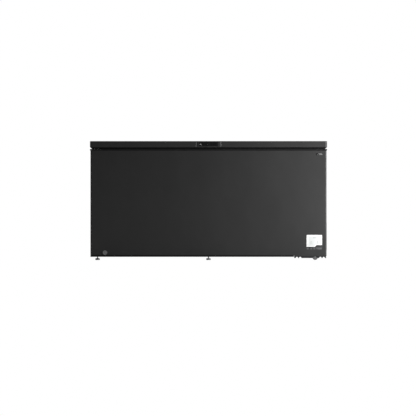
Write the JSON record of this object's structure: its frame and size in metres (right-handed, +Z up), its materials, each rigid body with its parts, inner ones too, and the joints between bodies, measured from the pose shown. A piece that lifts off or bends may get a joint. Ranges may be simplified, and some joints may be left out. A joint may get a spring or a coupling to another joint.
{
  "type": "chest freezer",
  "caption": "Long chest freezer with a hinged foam-filled lid, front control panel, stepped metal-lined tub, hanging wire baskets, machine bay, drain, feet and rollers.",
  "frame": {"origin": "on the floor, at the centre of the whole part's footprint", "axes": "+X the user's right as they face the front, -Y the front, +Z up"},
  "size_m": [1.657, 0.74, 0.831],
  "materials": {
    "painted_steel": "satin black paint",
    "galvanised_steel": "galvanised sheet",
    "black_plastic": "satin black",
    "white_plastic": "white",
    "embossed_aluminium": "stucco embossed",
    "foam": "rigid foam, light",
    "copper": "copper tube",
    "black_enamel": "semi-gloss black enamel",
    "black_rubber": "matt",
    "grey_rubber": "matt",
    "zinc_steel": "zinc plated",
    "grey_plastic": "satin grey",
    "glossy_window": "gloss black",
    "circuit_board": "green board",
    "lamp_plastic": "opal",
    "coated_wire": "white coated wire",
    "label_film": "printed film, blank",
    "badge_finish": "satin silver"
  },
  "bodies": {
    "cabinet": {"outer_shell": "painted_steel", "back_panel": "painted_steel", "base_panel": "galvanised_steel", "bottom_trim": "black_plastic", "top_collar": "black_plastic", "inner_tub": "embossed_aluminium", "insulation": "foam", "evaporator_tube": "embossed_aluminium", "condenser_tube": "galvanised_steel", "machine_tray": "black_enamel", "compressor_lower_shell": "black_enamel", "compressor_upper_shell": "black_enamel", "compressor_grommets": "black_rubber", "compressor_bolts": "zinc_steel", "relay_cover": "black_plastic", "copper_lines": "copper", "filter_drier": "copper", "power_box": "white_plastic", "side_grille": "black_plastic", "rear_cover": "black_enamel", "cord_gland": "black_plastic", "drain_pipe": "white_plastic", "foot_nuts": "zinc_steel", "wheel_mounts": "zinc_steel", "hinge_bracket_left": "black_enamel", "hinge_bracket_right": "black_enamel", "hinge_spring_left": "zinc_steel", "hinge_spring_right": "zinc_steel", "hinge_pins": "zinc_steel", "hinge_screws_cabinet": "zinc_steel", "badge": "badge_finish", "care_label": "label_film"},
    "lid": {"lid_skin": "painted_steel", "lid_frame": "black_plastic", "lid_seal": "black_rubber", "lid_liner": "white_plastic", "lid_insulation": "foam", "hinge_arm_left": "zinc_steel", "hinge_arm_right": "zinc_steel", "hinge_screws_lid": "zinc_steel", "control_bezel": "black_plastic", "display_window": "glossy_window", "control_board": "circuit_board", "lamp_lens": "lamp_plastic", "lamp_board": "circuit_board"},
    "key_left": {"key_left": "glossy_window"},
    "key_right": {"key_right": "glossy_window"},
    "plunger_left": {"hinge_plunger_left": "white_plastic"},
    "plunger_right": {"hinge_plunger_right": "white_plastic"},
    "basket_left": {"basket_left": "coated_wire"},
    "basket_right": {"basket_right": "coated_wire"},
    "drain_sleeve": {"drain_sleeve": "grey_plastic"},
    "drain_dial": {"drain_dial": "grey_plastic"},
    "drain_stopper": {"drain_stopper": "white_plastic"},
    "wheel_front": {"wheel_front": "grey_plastic"},
    "wheel_rear": {"wheel_rear": "grey_plastic"},
    "foot_front_left": {"foot_front_left": "grey_plastic"},
    "foot_front_middle": {"foot_front_middle": "grey_plastic"},
    "foot_rear_left": {"foot_rear_left": "grey_plastic"},
    "foot_rear_middle": {"foot_rear_middle": "grey_plastic"}
  },
  "joints": [
    {"name": "lid_open", "type": "hinge", "parent": "cabinet", "child": "lid", "pos_m": [0, 0.356, 0.79], "axis": [-1, 0, 0], "range_deg": [0, 80], "stiffness_Nm_per_rad": 24, "springref_deg": 80.21},
    {"name": "plunger_left_rise", "type": "slide", "parent": "cabinet", "child": "plunger_left", "axis": [0, 0, 1], "range_m": [0, 0.0121], "deforming": ["hinge_spring_left"]},
    {"name": "plunger_right_rise", "type": "slide", "parent": "cabinet", "child": "plunger_right", "axis": [0, 0, 1], "range_m": [0, 0.0121], "deforming": ["hinge_spring_right"]},
    {"name": "basket_left_slide", "type": "slide", "parent": "cabinet", "child": "basket_left", "axis": [1, 0, 0], "range_m": [0, 0.415]},
    {"name": "basket_right_slide", "type": "slide", "parent": "cabinet", "child": "basket_right", "axis": [1, 0, 0], "range_m": [-0.415, 0]},
    {"name": "drain_pull", "type": "slide", "parent": "cabinet", "child": "drain_sleeve", "axis": [0, -1, 0], "range_m": [0, 0.022]},
    {"name": "drain_turn", "type": "hinge", "parent": "drain_sleeve", "child": "drain_dial", "pos_m": [-0.723, -0.366, 0.0514], "axis": [0, 1, 0], "range_deg": [0, 180]},
    {"name": "stopper_lift", "type": "slide", "parent": "cabinet", "child": "drain_stopper", "axis": [0, 0, 1], "range_m": [0, 0.03]},
    {"name": "wheel_front_spin", "type": "hinge", "parent": "cabinet", "child": "wheel_front", "pos_m": [0.745, -0.351, 0.0185], "axis": [0, 1, 0], "continuous": true},
    {"name": "wheel_rear_spin", "type": "hinge", "parent": "cabinet", "child": "wheel_rear", "pos_m": [0.745, 0.326, 0.0185], "axis": [0, 1, 0], "continuous": true},
    {"name": "foot_front_left_level", "type": "slide", "parent": "cabinet", "child": "foot_front_left", "axis": [0, 0, -1], "range_m": [0, 0.012]},
    {"name": "foot_front_middle_level", "type": "slide", "parent": "cabinet", "child": "foot_front_middle", "axis": [0, 0, -1], "range_m": [0, 0.012]},
    {"name": "foot_rear_left_level", "type": "slide", "parent": "cabinet", "child": "foot_rear_left", "axis": [0, 0, -1], "range_m": [0, 0.012]},
    {"name": "foot_rear_middle_level", "type": "slide", "parent": "cabinet", "child": "foot_rear_middle", "axis": [0, 0, -1], "range_m": [0, 0.012]},
    {"name": "key_left_press", "type": "slide", "parent": "lid", "child": "key_left", "axis": [0, 1, 0], "range_m": [0, 0.0005], "stiffness_N_per_m": 800},
    {"name": "key_right_press", "type": "slide", "parent": "lid", "child": "key_right", "axis": [0, 1, 0], "range_m": [0, 0.0005], "stiffness_N_per_m": 800}
  ],
  "couplings": [
    {"joint": "plunger_left_rise", "follows": "lid_open", "m_per_rad": 0.0086},
    {"joint": "plunger_right_rise", "follows": "lid_open", "m_per_rad": 0.0086}
  ]
}
